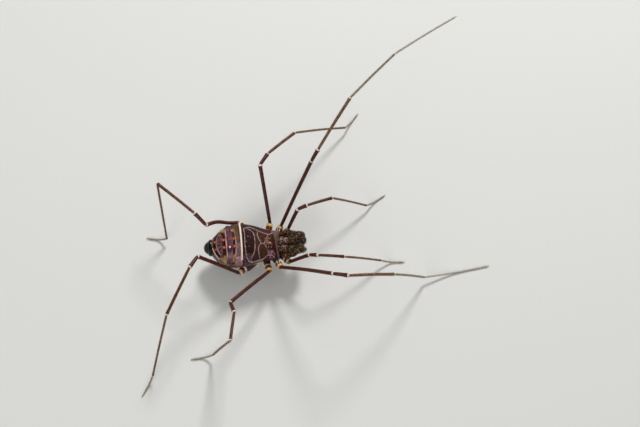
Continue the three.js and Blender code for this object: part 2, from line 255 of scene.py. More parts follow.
tail, front = STATIONS[0, 0], STATIONS[-1, 0]
forward = (front + tail) / 2 + ball[:, 2] * (front - tail) / 2
half, side, top, bottom = [through(forward, STATIONS[:, 0], STATIONS[:, k]) for k in (1, 2, 3, 4)]
around = np.maximum(np.hypot(ball[:, 0], ball[:, 1]), 1e-9)
sideways = power(ball[:, 0] / around, BOXINESS)
height = power(ball[:, 1] / around, BOXINESS)
bluntness = np.where(ball[:, 2] > 0, FRONT_BLUNTNESS, TAIL_BLUNTNESS)
closing = np.sqrt(np.maximum(0, 1 - np.abs(ball[:, 2]) ** bluntness))
hollow = FRONT_HOLLOW * (1 - (closing * sideways) ** 2) * eased(1.0, front, forward)
rise = np.where(height > 0, top - side, side - bottom)
level = (top + bottom) / 2 * (1 - closing) + side * closing
shell = np.column_stack([forward - hollow, closing * sideways * half, level + closing * height * rise])

lies = np.array([lie(shell, g) / g[3] for g in GROOVES])
groove = np.take_along_axis(lies, np.abs(lies).argmin(0)[None], 0)[0]
edge_lie, cap_lie, rim_lie = [lie(shell, line) for line in (SCUTUM_EDGE, OPERCULUM_EDGE, PALE_RIM)]
sulcus = np.full(len(shell), FAR_AWAY)
for drawn in SULCI.values():
    sulcus = np.minimum(sulcus, distance_to(shell[:, :2], smoothed(drawn)))
# The lines fade where the back turns down to the sides, and none is drawn below
sulcus += 0.1 * (1 - eased(0.0, 0.14, height)) + FAR_AWAY * (height < 0)

back = np.clip(height * closing, 0, 1)
belly = np.clip(-height * closing, 0, 1)
on_scutum = 1 - eased(-0.05, 0.1, edge_lie)
behind_scutum = 1 - on_scutum
on_top = eased(0.1, 0.5, back)
scutum_sides = on_scutum * eased(2.3, 1.9, shell[:, 0])
soft_sides = behind_scutum * (cap_lie < 0)
off_sternite_edge = np.abs(shell[:, :1] - STERNITE_EDGES).min(1)
# Ridges and grooves along lines: how high, the measure that they follow and its value there, how
# wide to each side, and where on the shell
RELIEF = [
    # the soft grooves between the free plates, above and below, and the plates' hind margins
    (-0.2, groove, 0.0, 0.95, behind_scutum * on_top),
    (-0.09, groove, 0.0, 0.7, behind_scutum * np.sqrt(belly)),
    (0.05, groove, -1.9, 0.7, behind_scutum * on_top),
    # the scutum's rear edge, and the step down behind it
    (0.07, edge_lie, -0.02, 0.15, on_top),
    (-0.13, edge_lie, 0.22, 0.09, on_top),
    # the joint of the last plate, its own edge, and the pale rim before it
    (-0.12, cap_lie, -0.03, 0.08, height > -0.6),
    (0.06, cap_lie, 0.2, 0.14, height > -0.6),
    (0.03, rim_lie, 0.0, 0.06, on_top),
    # the waxed lines on the scutum
    (-0.04, sulcus, 0.0, 0.07, back),
    # the seams along the soft sides
    (-0.05, height, 0.3, 0.05, soft_sides),
    (-0.05, height, -0.12, 0.05, soft_sides),
    # the scutum's rolled side edge, with a groove under it
    (0.07, height, -0.1, 0.09, scutum_sides),
    (-0.09, height, -0.27, 0.08, scutum_sides),
    # the rear edges of the belly's plates
    (-0.07, off_sternite_edge, 0.0, 0.06, eased(0.2, 0.6, belly)),
]
relief = sum(high * bump_at(measure - value, wide) * where for high, measure, value, wide, where in RELIEF)
# The scutum's fields swell between its lines, the soft sides have folds, and a shield, the genital
# plate, lies between the last coxae
relief += 0.05 * np.clip(sulcus / 0.5, 0, 1) * on_scutum * back
relief += 0.025 * np.sin(shell[:, 0] * 2 * pi / 0.42) * bump_at(height - 0.08, 0.16) * soft_sides
shield = np.hypot((shell[:, 0] + 0.75) / 0.55, shell[:, 1] / 0.5)
relief += 0.06 * (1 - eased(0.85, 1.0, shield)) * belly

# The eye mound is a dome with a saddle between the eyes
mound_x = (shell[:, 0] - MOUND["x"]) / MOUND["long"]
mound_y = shell[:, 1] / MOUND["wide"]
mound = np.maximum(0, 1 - mound_x ** 2 - mound_y ** 2) ** 0.55 * (height > 0)
saddle = 0.68 + 0.32 * eased(0.1, 0.6, np.abs(mound_y))


def lay_shell():
    trunk.data.vertices.foreach_set("co", ((shell * MM) + np.array(body_zero)).ravel())
    trunk.data.update()


lay_shell()
outward = np.empty(len(shell) * 3)
trunk.data.vertex_normals.foreach_get("vector", outward)
outward = outward.reshape(-1, 3)
shell = shell + outward * relief[:, None]
shell[:, 2] += MOUND["high"] * mound * saddle
lay_shell()

# What the colours follow is kept on the shell. The petals are streaks round the eye mound whose
# sides wave.
off_mound = np.hypot(shell[:, 0] - MOUND["x"], shell[:, 1])
turn = np.arctan2(shell[:, 1], shell[:, 0] - MOUND["x"])
measures = {"forward": shell[:, 0], "left": shell[:, 1] - AXIS, "height": height, "sulcus": sulcus,
            "edge": edge_lie, "groove": groove, "rim": rim_lie, "off_mound": off_mound,
            "sternite": off_sternite_edge,
            "petal": np.cos(PETALS * turn + 2.2 * np.sin(7 * off_mound))}
for name, values in measures.items():
    trunk.data.attributes.new(name, "FLOAT", "POINT").data.foreach_set("value", values)


class Pattern:
    """A number or colour that varies over a surface, written as the shader node that gives it.
    Patterns are added, multiplied and masked like numbers, and each material grows its own nodes."""

    def __init__(self, kind, inputs=(), output=0, **settings):
        self.kind, self.inputs, self.output, self.settings = kind, dict(inputs), output, settings

    def __mul__(self, other):
        return Pattern("ShaderNodeMath", {0: self, 1: other}, operation="MULTIPLY")

    def __add__(self, other):
        return Pattern("ShaderNodeMath", {0: self, 1: other}, operation="ADD")

    def __abs__(self):
        return Pattern("ShaderNodeMath", {0: self}, operation="ABSOLUTE")

    def mask(self, full, none):
        """1 where the pattern has reached full and 0 where it has reached none, in either direction."""
        ends = {1: min(full, none), 2: max(full, none), 3: float(full < none), 4: float(full > none)}
        return Pattern("ShaderNodeMapRange", {0: self, **ends}, interpolation_type="SMOOTHSTEP")

    def between(self, low, high, soft):
        """1 from low to high, and 0 past them by the soft margin."""
        return self.mask(low, low - soft) * self.mask(high, high + soft)

    def ragged(self, size, share):
        """The pattern with a share of a grain of that size in mm, which makes a mask's edge ragged."""
        return grain(size) * share + self


def node(tree, pattern, grown):
    """Adds a pattern's node with its settings and links, once, and gives its output."""
    if pattern not in grown:
        made = grown[pattern] = tree.nodes.new(pattern.kind)
        for name, value in pattern.settings.items():
            setattr(made, name, value)
        for socket, value in pattern.inputs.items():
            if isinstance(value, Pattern):
                tree.links.new(node(tree, value, grown), made.inputs[socket])
            else:
                made.inputs[socket].default_value = linear(value) if isinstance(value, str) else value
    return grown[pattern].outputs[pattern.output]


def grain(size, detail=3.0, kind="ShaderNodeTexNoise"):
    """A random pattern whose spots are about the given size in mm."""
    inputs = {"Vector": Pattern("ShaderNodeTexCoord", output="Object"), "Scale": 1 / (size * MM)}
    if kind == "ShaderNodeTexNoise":
        inputs["Detail"] = detail
    return Pattern(kind, inputs)


def distance_from(x, y, place):
    """How far a point of a surface, given by two patterns, lies from a place in them."""
    flat = Pattern("ShaderNodeCombineXYZ", {0: x, 1: y})
    return Pattern("ShaderNodeVectorMath", {0: flat, 1: (*place, 0)}, "Value", operation="DISTANCE")


def painted(ground, *layers):
    """The ground colour with each layer, a mask and a colour, laid over it in turn."""
    colour = ground
    for share, paint in layers:
        colour = Pattern("ShaderNodeMix", {0: share, 6: colour, 7: paint}, 2, data_type="RGBA")
    return colour


def cuticle(name, paint, roughness, bumps, shine=0.5, matt=None):
    """A painted cuticle. bumps are kinds of grain with their sizes and heights in mm."""
    made = bpy.data.materials.new(name)
    made.use_nodes = True
    tree = made.node_tree
    skin = tree.nodes["Principled BSDF"]
    skin.inputs["Specular IOR Level"].default_value = shine
    polished, worn = roughness
    gloss = Pattern("ShaderNodeMapRange", {0: grain(0.3), 1: 0.35, 2: 0.65, 3: polished, 4: worn})
    if matt:
        gloss = Pattern("ShaderNodeMix", {0: matt, 2: gloss, 3: WAX_ROUGHNESS})
    raised = None
    for kind, size, high in bumps:
        inputs = {"Height": grain(size, kind=kind), "Distance": high * MM}
        if raised:
            inputs["Normal"] = raised
        raised = Pattern("ShaderNodeBump", inputs, invert=kind == "ShaderNodeTexVoronoi")
    grown = {}
    for socket, pattern in (("Base Color", paint), ("Roughness", gloss), ("Normal", raised)):
        tree.links.new(node(tree, pattern, grown), skin.inputs[socket])
    return made


WAX_ROUGHNESS = 0.75
GRAINY = [("ShaderNodeTexVoronoi", 0.12, 0.03), ("ShaderNodeTexNoise", 0.04, 0.008)]
SATIN = [("ShaderNodeTexNoise", 0.16, 0.02), ("ShaderNodeTexNoise", 0.035, 0.005)]
POLISHED = [("ShaderNodeTexNoise", 0.3, 0.008), ("ShaderNodeTexNoise", 0.06, 0.001)]
DIMPLED = [("ShaderNodeTexNoise", 0.3, 0.02), ("ShaderNodeTexVoronoi", 0.1, 0.01)]
measured = {name: Pattern("ShaderNodeAttribute", output="Fac", attribute_name=name)
            for name in (*measures, "near", "far")}

# Scutum: hard chocolate cuticle with a fine granular relief. Its grooves are filled with a
# lilac-grey wax, which gives the eye thin matt lines between dark satin fields. A waxy ivory line
# runs along its rear edge and ends short of the right side.
slant = measured["left"] * 0.2 + measured["forward"]
front_band = slant.mask(1.6, 1.54)
wax_line = measured["sulcus"].ragged(0.25, 0.08).mask(0.065, 0.105) * slant.mask(1.45, 1.56)
wax_line *= grain(0.35).mask(0.5, 0.36) * 0.6 + 0.4
rear_rim = measured["edge"].ragged(0.2, 0.06).between(-0.08, 0.08, 0.04) * measured["left"].mask(-2.02, -2.14)


def scutum_paint():
    forward, left, high, edge = [measured[name] for name in ("forward", "left", "height", "edge")]
    aside = abs(left)
    middle_fields = forward.between(-0.7, 0.75, 0.2) * aside.mask(1.5, 1.9)
    rear_field = forward.mask(-1.0, -0.8) * aside.mask(1.3, 1.7)
    corner = left.mask(1.3, 1.1) * forward.mask(1.15, 0.95)
    mottled = left.mask(-1.55, -1.3) * forward.mask(-1.2, -0.9) * grain(0.22).mask(0.52, 0.42)
    lilac = distance_from(forward, left, (1.12, -1.25)).mask(0.2, 0.58) * grain(0.17).mask(0.54, 0.47)
    carapace = slant.between(0.5, 1.3, 0.15) * aside.mask(0.95, 1.3)
    petals = measured["petal"].ragged(0.2, 1.6).mask(1.3, 0.7)
    streaks = carapace * petals * measured["off_mound"].between(0.26, 0.7, 0.08)
    saddle_spot = distance_from(forward, left * 1.9, (0.93, -0.1)).ragged(0.16, 0.4).mask(0.22, 0.42)
    side_rim = high.between(-0.16, -0.06, 0.03) * edge.between(-2.0, -0.6, 0.4)
    cream_edge = distance_from(forward * 1.5, high * 11.0, (-0.5, -1.0)).ragged(0.25, 0.3).mask(0.95, 1.15)
    return painted(
        "2b0f09",
        (grain(0.8).mask(0.62, 0.4), "4a1f16"),
        (grain(0.15).mask(0.66, 0.52) * 0.4, "7c5244"),
        (middle_fields * 0.6, "3f2711"),
        (rear_field * 0.85, "1d0604"),
        # The sides darken towards their edges: partly their own dark maroon, partly painted shade where the
        # back turns down
        (aside.mask(2.3, 1.55) * 0.75, "1a070a"),
        # Lilac patches on the sides: painted sheen
        (aside.mask(1.7, 1.4) * grain(0.6).mask(0.66, 0.42) * 0.6, "36232e"),
        (mottled * 0.6, "7a5f6c"),
        (carapace * 0.8, "441309"),
        (streaks, "8f5c3c"),
        # Pale flecks in the streaks: painted highlights
        (streaks * grain(0.12).mask(0.56, 0.48), "cfa582"),
        (saddle_spot * 0.9, "c9a294"),
        (slant.between(1.2, 1.55, 0.08) * 0.85, "2c0606"),
        (lilac * 0.8, "b87f95"),
        ((corner + front_band) * 0.95, "6f594e"),
        (edge.mask(-0.18, -0.3) * 0.85, "180707"),
        (wax_line, "a78c8d"),
        (side_rim * 0.7, "8d7a62"),
        (cream_edge * (grain(0.16).mask(0.44, 0.56) * 0.4 + 0.6), "e6cf92"),
        (rear_rim, "f6e0c8"),
    )


waxed = Pattern("ShaderNodeMath", {0: wax_line, 1: front_band}, operation="MAXIMUM")
scutum_cuticle = cuticle("scutum_cuticle", scutum_paint(), (0.45, 0.6), GRAINY, shine=0.12, matt=waxed)


# Free plates: satin plates of grey-lilac, mauve and olive with a thin waxy cream hind margin. The
# skin between them is stretched and nearly black, with a pair of orange-red spots by the midline.
def tergite_paint():
    names = ("forward", "left", "height", "edge", "groove", "rim", "sternite")
    forward, left, high, edge, groove, rim, sternite = [measured[name] for name in names]
    aside, depth = abs(left), abs(groove)
    cloud, blotch = grain(0.5).mask(0.6, 0.42), grain(0.24).mask(0.6, 0.48)
    first_plate = edge.mask(0.7, 0.8)
    ragged_left = left.ragged(0.3, 0.7) + -0.35
    rosy_side = first_plate * ragged_left.mask(-0.3, 0.1)
    second_plate = edge.between(0.95, 1.85, 0.1)
    navy = second_plate * distance_from(forward, left, (-3.75, -0.9)).mask(0.2, 0.5)
    white_spot = distance_from(forward, left, (-3.71, -0.58)).mask(0.06, 0.16)
    red_spot = distance_from(forward, left, (-3.7, -0.2)).mask(0.04, 0.14)
    green_spot = distance_from(forward, left, (-4.9, 1.15)).mask(0.08, 0.3)
    skin = depth.mask(0.75, 1.1)
    margin = groove.ragged(0.3, 0.5).between(-1.45, -0.95, 0.18) * aside.mask(1.5, 2.1)
    off_pair = distance_from(groove * 0.19, aside, (0, 0.47))
    pair = off_pair.ragged(0.2, 0.12).mask(0.2, 0.31)
    tan_patch = depth.mask(0.5, 1.1) * aside.between(1.55, 2.0, 0.25) * edge.mask(2.6, 2.9)
    ragged_height = high.ragged(0.3, 0.16)
    folds = ragged_height.mask(0.22, 0.4)
    pale_seam = ragged_height.between(0.26, 0.34, 0.05) * grain(0.5).mask(0.52, 0.4)
    belly_plates = high.mask(-0.3, -0.12)
    rosy_fold = distance_from(forward, high * 2.0, (-2.6, 0.3)).ragged(0.3, 0.7).mask(0.75, 1.05)
    pale_rim = rim.between(-0.01, 0.01, 0.04) * left.mask(0.3, 0.9) * left.mask(-1.5, -1.8)
    return painted(
        "5c3c44",
        (cloud, "38202a"),
        (blotch * 0.5, "8f6c78"),
        (second_plate * cloud * 0.8, "5c2836"),
        (second_plate * left.mask(-1.2, -0.7) * cloud * 0.5, "a07c88"),
        (first_plate * ragged_left.mask(1.0, 0.7) * 0.9, "5e4824"),
        (first_plate * ragged_left.between(0.4, 0.6, 0.3) * 0.9, "a45a2a"),
        (rosy_side * 0.85, "9c7078"),
        (rosy_side * blotch * 0.8, "d6aeb4"),
        (first_plate * left.mask(-1.5, -1.9) * 0.6, "3a2a1e"),
        (edge.between(2.2, 3.1, 0.1) * blotch * 0.5, "6f6268"),
        (green_spot * 0.75, "96a08a"),
        (navy * 0.8, "17142c"),
        (edge.mask(3.5, 3.4), "1c0c0a"),
        (skin, "1e0303"),
        (skin * aside.mask(0.95, 0.6) * 0.7, "4e0e04"),
        (margin * (grain(0.6).mask(0.5, 0.36) * 0.5 + 0.5), "d6b1a2"),
        (tan_patch * grain(0.5).mask(0.5, 0.4), "bb935f"),
        (pair * depth.mask(1.0, 1.3) * 0.9, "a03510"),
        (pair * off_pair.mask(0.06, 0.16) * 0.85, "dd7436"),
        (white_spot * 0.95, "ece0f4"),
        (red_spot * 0.8, "9c2a26"),
        (folds, "3a2f22"),
        (folds * blotch * 0.6, "5d5040"),
        (pale_seam * 0.55, "968f70"),
        (belly_plates, "2c1d15"),
        (belly_plates * cloud * 0.7, "463123"),
        (belly_plates * sternite.mask(0.05, 0.1) * 0.8, "93806a"),
        (rosy_fold * 0.8, "9a6552"),
        (pale_rim * grain(0.5).mask(0.44, 0.34) * 0.9, "ece1d6"),
        (rear_rim, "f6e0c8"),
    )


tergite_cuticle = cuticle("tergite_cuticle", tergite_paint(), (0.4, 0.55), SATIN, shine=0.2)

# Anal operculum: the last plate, a smooth black cap with a green cast and a wet shine.
operculum_paint = painted("080603", (grain(0.5).mask(0.6, 0.42) * 0.8, "1f1c0d"))
operculum_cuticle = cuticle("operculum_cuticle", operculum_paint, (0.1, 0.18), DIMPLED, shine=0.2)


def fit(piece, material, slot, *nodes):
    """Gives a finished piece its surface, fixes it to the body and lets it stand for its solids."""
    if material:
        piece.data.materials.clear()
        piece.data.materials.append(material)
    piece.data.shade_smooth()
    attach(piece, "root")
    if nodes:
        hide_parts(*nodes)


for material in (scutum_cuticle, tergite_cuticle, operculum_cuticle):
    trunk.data.materials.append(material)
starts = np.empty(len(trunk.data.polygons), dtype=np.int32)
trunk.data.polygons.foreach_get("loop_start", starts)
corners = np.empty(len(trunk.data.loops), dtype=np.int32)
trunk.data.loops.foreach_get("vertex_index", corners)
first_corner = corners[starts]
is_tergite = edge_lie[first_corner] > -0.02
is_operculum = (cap_lie[first_corner] > 0) & (height[first_corner] > -0.55)
trunk.data.polygons.foreach_set("material_index", is_tergite.astype(np.int32) + is_operculum)
fit(trunk, None, "chocolate_cuticle", "scutum", "eye_mound", "abdomen", "anal_operculum")

# Granules
# The scutum and the bases of the limbs are rough with low rounded granules of the same cuticle,
# each tipped a little paler. The free plates carry a row of blunt tubercles near their hind edge.
# They, and all that is long and thin on the animal, are rods drawn out ring by ring.
GRANULE_RINGS = [(-0.6, 1.0, 1.0), (0.1, 0.95, 0.95), (0.5, 0.68, 0.68), (0.72, 0.28, 0.28)]
TUBERCLE_RINGS = [(-0.5, 1.0, 1.0), (0.3, 0.85, 0.85), (1.0, 0.5, 0.5), (1.4, 0.15, 0.15)]
# The colours of each copy are mapped on a patch this wide of its surface's unwrap
ROOT_PATCH = 0.003
# Two faces meet where both lie within this many metres of a point
TOUCH = 1e-7


def rod(name, rings, sides, keel=1.0):
    """A closed rod along +Z. Each ring is its height, half width and half depth, in mm. A keel over
    1 draws its two sides out to edges."""
    (z, wide, deep), *others = rings
    bpy.ops.object.select_all(action="DESELECT")
    bpy.ops.mesh.primitive_circle_add(vertices=sides, radius=MM, fill_type="NGON", location=(0, 0, 0))
    made = bpy.context.object
    made.name = made.data.name = name
    for corner in made.data.vertices:
        corner.co.y = power(corner.co.y / MM, keel) * MM
    bpy.ops.object.mode_set(mode="EDIT")
    bpy.ops.transform.translate(value=(0, 0, z * MM))
    bpy.ops.transform.resize(value=(wide, deep, 1), center_override=(0, 0, z * MM))
    for next_z, next_wide, next_deep in others:
        bpy.ops.mesh.extrude_region_move(TRANSFORM_OT_translate={"value": (0, 0, (next_z - z) * MM)})
        grow = (next_wide / wide, next_deep / deep, 1)
        bpy.ops.transform.resize(value=grow, center_override=(0, 0, next_z * MM))
        z, wide, deep = next_z, next_wide, next_deep
    bpy.ops.mesh.select_all(action="SELECT")
    bpy.ops.mesh.normals_make_consistent(inside=False)
    bpy.ops.object.mode_set(mode="OBJECT")
    return made


def taken_shape(piece):
    """A small piece's corners in mm and its triangles, to be copied many times. The piece goes."""
    mesh = piece.data
    mesh.calc_loop_triangles()
    triangles = np.empty(len(mesh.loop_triangles) * 3, dtype=np.int32)
    mesh.loop_triangles.foreach_get("vertices", triangles)
    corners = places_of(mesh.vertices) / MM
    bpy.data.objects.remove(piece)
    return corners, triangles.reshape(-1, 3)


def copies(name, shape, places, outward, widths, lengths, roots=None):
    """One joined mesh of a shape set at places in metres, its +Z turned outward, sized in mm.
    roots are where the copies grow on an unwrap of the surface, for the map of their colours."""
    corners, triangles = shape
    up = outward / np.linalg.norm(outward, axis=1, keepdims=True)
    level = np.where(np.abs(up[:, 2:]) < 0.9, [[0.0, 0.0, 1.0]], [[1.0, 0.0, 0.0]])
    across = np.cross(level, up)
    across /= np.linalg.norm(across, axis=1, keepdims=True)
    over = np.cross(up, across)
    wide, long = widths[:, None, None] * MM, lengths[:, None, None] * MM
    points = places[:, None] + wide * corners[None, :, :1] * across[:, None]
    points = points + wide * corners[None, :, 1:2] * over[:, None]
    points = points + long * corners[None, :, 2:] * up[:, None]
    first = np.arange(len(places))[:, None, None] * len(corners)
    mesh = bpy.data.meshes.new(name)
    mesh.from_pydata(points.reshape(-1, 3), [], (triangles[None] + first).reshape(-1, 3).tolist())
    if roots is not None:
        patch = corners[triangles.ravel(), :2] / np.abs(corners[:, :2]).max() * ROOT_PATCH / 2
        unwrap = roots[:, None] + patch[None]
        mesh.uv_layers.new(name="OFBake").data.foreach_set("uv", unwrap.ravel())
    made = bpy.data.objects.new(name, mesh)
    bpy.context.collection.objects.link(made)
    return made


def scattered(piece, spacing, seed, allowed=None):
    """Random places on a piece and the surface's directions there, at least the spacing in mm apart.
    Each is the nearest to a random point in its own cell of a lattice round the piece, and faces as
    all the faces that meet there do, because the order of a mesh's faces isn't the same each time."""
    places = places_of(piece.data.vertices)
    faces = [list(face.vertices) for face in piece.data.polygons]
    surface = BVHTree.FromPolygons(places.tolist(), faces)
    cell = spacing * MM
    low = places.min(0) - 1.01 * cell
    cells = np.indices(np.ceil((places.max(0) - low) / cell + 1).astype(int)).reshape(3, -1).T
    draw = np.random.default_rng(seed)
    spots, facings = [], []
    for point in draw.permutation(low + (cells + draw.random(cells.shape)) * cell):
        spot = surface.find_nearest(point, cell)[0]
        meeting = surface.find_nearest_range(spot, TOUCH) if spot else []
        corners = [corner for _, _, face, _ in meeting for corner in faces[face]]
        if meeting and (allowed is None or allowed[corners].all()):
            spots.append(spot)
            facings.append(sum((facing for _, facing, _, _ in meeting), Vector()))
    spots, facings = np.array(spots), np.array(facings)
    kept = []
    for i, spot in enumerate(spots):
        if not kept or np.linalg.norm(spots[kept] - spot, axis=1).min() > spacing * MM:
            kept.append(i)
    return spots[kept], facings[kept]


def varied(count, low, high, seed):
    return np.random.default_rng(seed).uniform(low, high, count)


granule_shape = taken_shape(rod("granule", GRANULE_RINGS, 7))
tubercle_shape = taken_shape(rod("tubercle", TUBERCLE_RINGS, 8))
granule_paint = painted("2e120b", (grain(0.3).mask(0.6, 0.42), "623c2e"))
granule_cuticle = cuticle("granule_cuticle", granule_paint, (0.25, 0.4), SATIN, shine=0.25)


def granulated(name, shape, piece, spacing, seeds, allowed, sizes, material, slot):
    """Sets copies of a shape over the allowed part of a piece, with half widths from a range."""
    spots, facing = scattered(piece, spacing, seeds[0], allowed)
    widths = varied(len(spots), *sizes, seeds[1])
    fit(copies(name, shape, spots, facing, widths, widths), material, slot)


rough_back = (edge_lie < -0.3) & (height > 0.02) & (sulcus > 0.11) & (closing > 0.75)
rough_back &= np.hypot(shell[:, 0] - MOUND["x"], np.abs(shell[:, 1]) - 0.55) > 0.3
on_margins = (edge_lie > 0.2) & (height > 0.32) & (cap_lie < -0.1) & (np.abs(groove + 1.9) < 0.35)
granulated("granules_scutum", granule_shape, trunk, 0.15, (3, 4), rough_back, (0.026, 0.046),
           granule_cuticle, "chocolate_cuticle")
granulated("granules_operculum", granule_shape, trunk, 0.16, (7, 8), cap_lie > 0.2, (0.018, 0.036),
           operculum_cuticle, "black_cuticle")
granulated("tubercles_tergites", tubercle_shape, trunk, 0.2, (5, 6), on_margins, (0.03, 0.045),
           granule_cuticle, "maroon_tergite")

# Larger blunt teeth: six low ones on the rear of the scutum, each with its place and its half
# width, and two that stick out over each of its front corners, with their place, width and length
TEETH = [(-1.62, 0.5, 0.06), (-1.86, -0.82, 0.06), (-1.78, -0.16, 0.045), (-1.3, 0.42, 0.04),
         (-1.44, -0.72, 0.04), (-2.4, 0.5, 0.035)]
CORNER_TEETH = [(1.72, 0.09, 0.48), (1.98, 0.08, 0.4)]
CORNER_HEIGHT = 3.7

tooth_paint = painted("a88678", (grain(0.12).mask(0.56, 0.42), "ecd9cc"))
tooth_cuticle = cuticle("tooth_cuticle", tooth_paint, (0.2, 0.3), POLISHED, shine=0.35)
under = [np.hypot(shell[:, 0] - x, shell[:, 1] - y) + FAR_AWAY * (height < 0) for x, y, _ in TEETH]
crowns = shell[np.array(under).argmin(1)] * MM + np.array(body_zero)
widths = np.array([tooth[2] for tooth in TEETH])
upward = np.tile([0, 0, 1.0], (len(TEETH), 1))
teeth = copies("teeth_scutum", tubercle_shape, crowns, upward, widths, widths)
fit(teeth, tooth_cuticle, "chocolate_cuticle")

SIDES = {"left": 1, "right": -1}
for side_word, way in SIDES.items():
    beside = np.hypot(shell[:, :1] - [x for x, _, _ in CORNER_TEETH], 2.5 * (shell[:, 2:] - CORNER_HEIGHT))
    beside[shell[:, 1] * way < 0] = FAR_AWAY
    crowns = shell[beside.argmin(0)] * MM + np.array(body_zero)
    widths, lengths = np.array(CORNER_TEETH)[:, 1:].T
    outwards = np.tile([0.25, way, 0.15], (2, 1))
    teeth = copies(f"teeth_corner_{side_word}", tubercle_shape, crowns, outwards, widths, lengths)
    fit(teeth, tooth_cuticle, "chocolate_cuticle")

# Hairs and denticles
# Pointed denticles stand in rows along the limbs, and fine golden hairs between them. Each hair is
# a stiff spine of cuticle in a socket, which leans towards the limb's far end.
HAIR_LEAN = 1.1
DENTICLE_RINGS = [(-0.5, 1.0, 1.0), (0.5, 0.8, 0.8), (1.3, 0.15, 0.15)]
HAIR_RINGS = [(-0.1, 1.0, 1.0), (0.5, 0.75, 0.75), (1.0, 0.1, 0.1)]
denticle_shape = taken_shape(rod("denticle", DENTICLE_RINGS, 5))
hair_shape = taken_shape(rod("hair", HAIR_RINGS, 3))


def two_toned(dark, light):
    return painted(dark, (grain(0.4).mask(0.58, 0.44), light))


hair_cuticle = cuticle("hair_cuticle", two_toned("6a5844", "b8aa92"), (0.35, 0.5), SATIN, shine=0.3)


def rows_on(rings, length, rows, spacing, lean, seed, ends=0.25):
    """Places in rows along a straight rod, a little out of line, the directions there, and each
    place on an unwrap of the rod."""
    heights, wide, deep = np.array(rings).T
    steps = np.arange(ends, length - 0.8 * ends, spacing)
    draw = np.random.default_rng(seed)
    z = np.tile(steps, rows) + draw.uniform(-0.3, 0.3, rows * len(steps)) * spacing
    turn = np.repeat(np.arange(rows) * 2 * pi / rows, len(steps)) + draw.uniform(-0.2, 0.2, len(z))
    around = np.column_stack([np.cos(turn), np.sin(turn)])
    reach = np.column_stack([np.interp(z, heights, wide), np.interp(z, heights, deep)]) * 0.95
    places = np.column_stack([around * reach, z]) * MM
    outward = np.column_stack([around / reach * reach.min(axis=1, keepdims=True), np.full(len(z), lean)])
    return places, outward, np.column_stack([z / length, (turn / (2 * pi)) % 1])

# Eyes
# Two simple eyes, one at each end of the mound. Each is a hard clear lens over black, set in a
# raised rim of cuticle.
EYE_RADIUS = 0.18
EYE_FLATNESS = 0.94
EYE_RIM = 0.045
RIM_STRETCH = 1.08
lens_paint = painted("030303", (grain(0.1).mask(0.6, 0.4) * 0.3, "0c0705"))
rim_paint = painted("1c0b08", (grain(0.12).mask(0.6, 0.42), "3a2018"))
eye_lens = cuticle("eye_lens", lens_paint, (0.06, 0.1), [("ShaderNodeTexNoise", 0.2, 0.001)])
eye_rim_cuticle = cuticle("eye_rim_cuticle", rim_paint, (0.3, 0.45), GRAINY)


def shaped(name, stretch, middle):
    """Names the primitive just added, stretches it about its middle and keeps its place in its mesh."""
    made = bpy.context.object
    made.name = made.data.name = name
    bpy.ops.object.mode_set(mode="EDIT")
    bpy.ops.mesh.select_all(action="SELECT")
    bpy.ops.transform.resize(value=stretch, center_override=middle)
    bpy.ops.object.mode_set(mode="OBJECT")
    bpy.ops.object.transform_apply(location=True, rotation=True, scale=True)
    return made


for side_word, way in SIDES.items():
    low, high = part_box(f"eye_{side_word}")
    middle = (low + high) / 2
    bpy.ops.object.select_all(action="DESELECT")
    bpy.ops.mesh.primitive_uv_sphere_add(segments=32, ring_count=20, radius=EYE_RADIUS * MM, location=middle)
    lens = shaped(f"eye_lens_{side_word}", (1, 1, EYE_FLATNESS), middle)
    fit(lens, eye_lens, "eye_lens", f"eye_{side_word}")

    bpy.ops.object.select_all(action="DESELECT")
    bpy.ops.mesh.primitive_torus_add(
        major_segments=32, minor_segments=10, major_radius=EYE_RADIUS * MM, minor_radius=EYE_RIM * MM,
        location=middle, rotation=Vector((0, way, 0.75)).to_track_quat("Z", "Y").to_euler())
    fit(shaped(f"eye_rim_{side_word}", (RIM_STRETCH, 1, 1), middle), eye_rim_cuticle, "chocolate_cuticle")

# Chelicerae
# The two jaws hang side by side from the hollow front of the carapace. Each has a stem with a
# domed swelling, a stout hand hanging down in front of it, and two fingers. All of it is hard,
# wet-looking, brown-black cuticle, and the stem and hand are studded with glossy knobs.

# Each piece's path and rings in mm, with y away from the body's middle, and for its hairs how many
# rows, their spacing and their length
CHELICERA = {
    "stem": {
        "path": [(1.65, 0.48, 3.75), (2.15, 0.49, 4.08), (2.6, 0.5, 4.18), (3.15, 0.5, 3.98)],
        "rings": [(0.0, 0.3, 0.26), (0.25, 0.36, 0.3), (0.45, 0.44, 0.4), (0.7, 0.48, 0.48),
                  (1.1, 0.48, 0.46), (1.4, 0.42, 0.38), (1.6, 0.3, 0.26)],
        "hairs": (8, 0.3, 0.16),
    },
    "hand": {
        "path": [(2.85, 0.49, 4.0), (3.45, 0.49, 4.06), (4.1, 0.47, 3.6), (4.3, 0.43, 2.75)],
        "rings": [(0.0, 0.3, 0.22), (0.2, 0.42, 0.34), (0.55, 0.48, 0.46), (1.0, 0.49, 0.5),
                  (1.4, 0.45, 0.46), (1.75, 0.35, 0.34), (2.0, 0.2, 0.2)],
        "hairs": (10, 0.24, 0.2),
    },
    "fixed_finger": {
        "path": [(4.2, 0.3, 3.1), (4.32, 0.24, 2.65), (4.16, 0.18, 2.25)],
        "rings": [(0.0, 0.2, 0.2), (0.3, 0.16, 0.17), (0.65, 0.11, 0.12), (0.92, 0.06, 0.07),
                  (1.06, 0.015, 0.02)],
    },
    "movable_finger": {
        "path": [(4.22, 0.54, 3.1), (4.4, 0.55, 2.65), (4.24, 0.34, 2.22)],
        "rings": [(0.0, 0.18, 0.18), (0.3, 0.15, 0.15), (0.65, 0.11, 0.11), (0.95, 0.06, 0.06),
                  (1.12, 0.015, 0.02)],
    },
}
MOUTHPART_SIDES = 24
